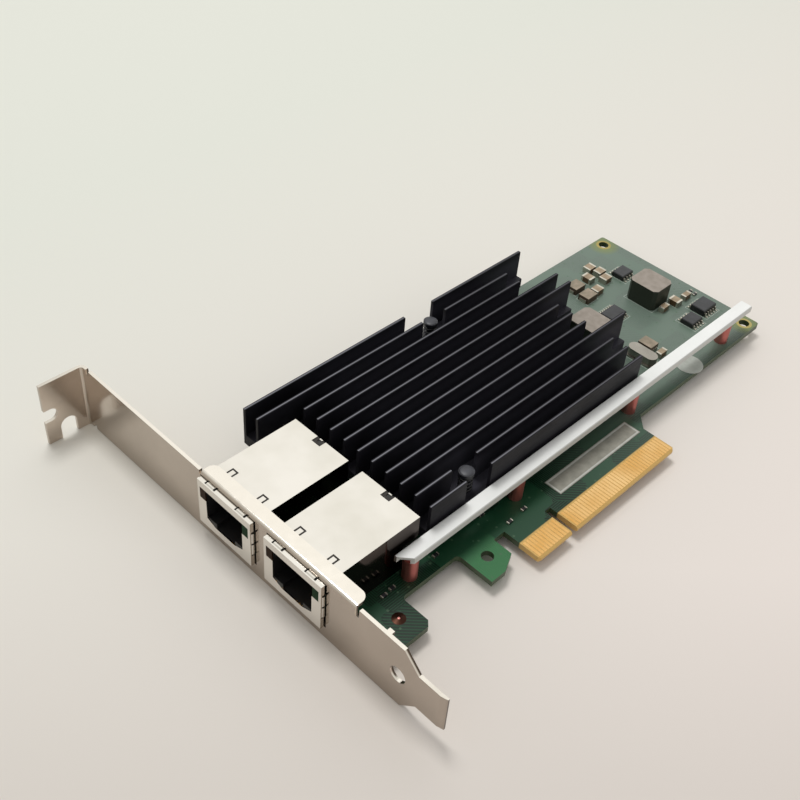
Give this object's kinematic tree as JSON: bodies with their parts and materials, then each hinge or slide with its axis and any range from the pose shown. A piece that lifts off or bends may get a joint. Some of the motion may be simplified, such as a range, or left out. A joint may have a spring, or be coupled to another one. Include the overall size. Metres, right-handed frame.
{
  "type": "network interface card",
  "caption": "Full-height expansion card with a folded end bracket, side-by-side RJ45 network jacks, a finned black heatsink, a stiffener bar and a gold edge connector.",
  "frame": {"origin": "centre of the bounding box in plan, at the height of the bracket's lower edge; the card lies with its component side up", "axes": "+X from the bracket towards the rear edge of the board, +Y from the edge connector towards the top edge, +Z out of the component side"},
  "size_m": [0.172, 0.12, 0.0184],
  "materials": {
    "board_laminate": "green solder mask over glass epoxy laminate",
    "gold_plating": "hard gold plating",
    "tinned_copper": "solder-coated copper",
    "nickel_steel": "satin nickel-plated steel",
    "rivet_copper": "dull copper-coloured rivet",
    "shield_steel": "nickel-plated formed sheet",
    "black_moulding": "moulded black thermoplastic",
    "clear_lens": "clear polycarbonate light pipe",
    "black_anodised": "black anodised extrusion",
    "grey_nylon": "moulded nylon",
    "spring_steel": "bright spring wire",
    "bright_steel": "bright plated folded steel",
    "copper_post": "dull copper-coloured turned post",
    "package_laminate": "package substrate laminate",
    "lid_nickel": "nickel-plated copper lid",
    "thermal_pad": "soft filled silicone pad",
    "chip_epoxy": "moulded black epoxy",
    "ferrite": "pressed ferrite powder",
    "tin_plating": "matt tin plating",
    "tan_ceramic": "fired brown ceramic",
    "resistor_black": "black glaze over alumina",
    "grey_moulding": "moulded grey case",
    "label_grey": "satin polyester label, blank",
    "label_white": "satin paper label, blank"
  },
  "bodies": {
    "root": {"circuit_board": "board_laminate", "edge_contacts_front": "gold_plating", "edge_contacts_back": "gold_plating", "hole_rings": "tinned_copper", "mounting_bracket": "nickel_steel", "bracket_rivets": "rivet_copper", "upper_jack_shield": "shield_steel", "upper_jack_housing": "black_moulding", "upper_jack_light_pipes": "clear_lens", "upper_jack_contact_wires": "gold_plating", "upper_jack_magnetics": "black_moulding", "lower_jack_shield": "shield_steel", "lower_jack_housing": "black_moulding", "lower_jack_light_pipes": "clear_lens", "lower_jack_contact_wires": "gold_plating", "lower_jack_magnetics": "black_moulding", "heatsink": "black_anodised", "heatsink_push_pins": "grey_nylon", "push_pin_springs": "spring_steel", "stiffener_bar": "bright_steel", "stiffener_posts": "copper_post", "stiffener_screws": "bright_steel", "controller_substrate": "package_laminate", "controller_lid": "lid_nickel", "controller_thermal_pad": "thermal_pad", "transceiver_chips": "chip_epoxy", "transceiver_thermal_pads": "thermal_pad", "rear_power_inductor": "ferrite", "middle_power_inductor": "ferrite", "small_chip_packages": "chip_epoxy", "small_chip_leads": "tin_plating", "wide_ceramic_capacitors": "tan_ceramic", "wide_capacitor_ends": "tin_plating", "narrow_ceramic_capacitors": "tan_ceramic", "narrow_capacitor_ends": "tin_plating", "small_resistors": "resistor_black", "small_resistor_ends": "tin_plating", "polymer_capacitors": "grey_moulding", "polymer_capacitor_ends": "tin_plating", "crystal_can": "nickel_steel", "flash_memory": "chip_epoxy", "crystal_oscillators": "tin_plating", "back_capacitors": "tan_ceramic", "part_label": "label_grey", "round_label": "label_white"}
  },
  "joints": []
}
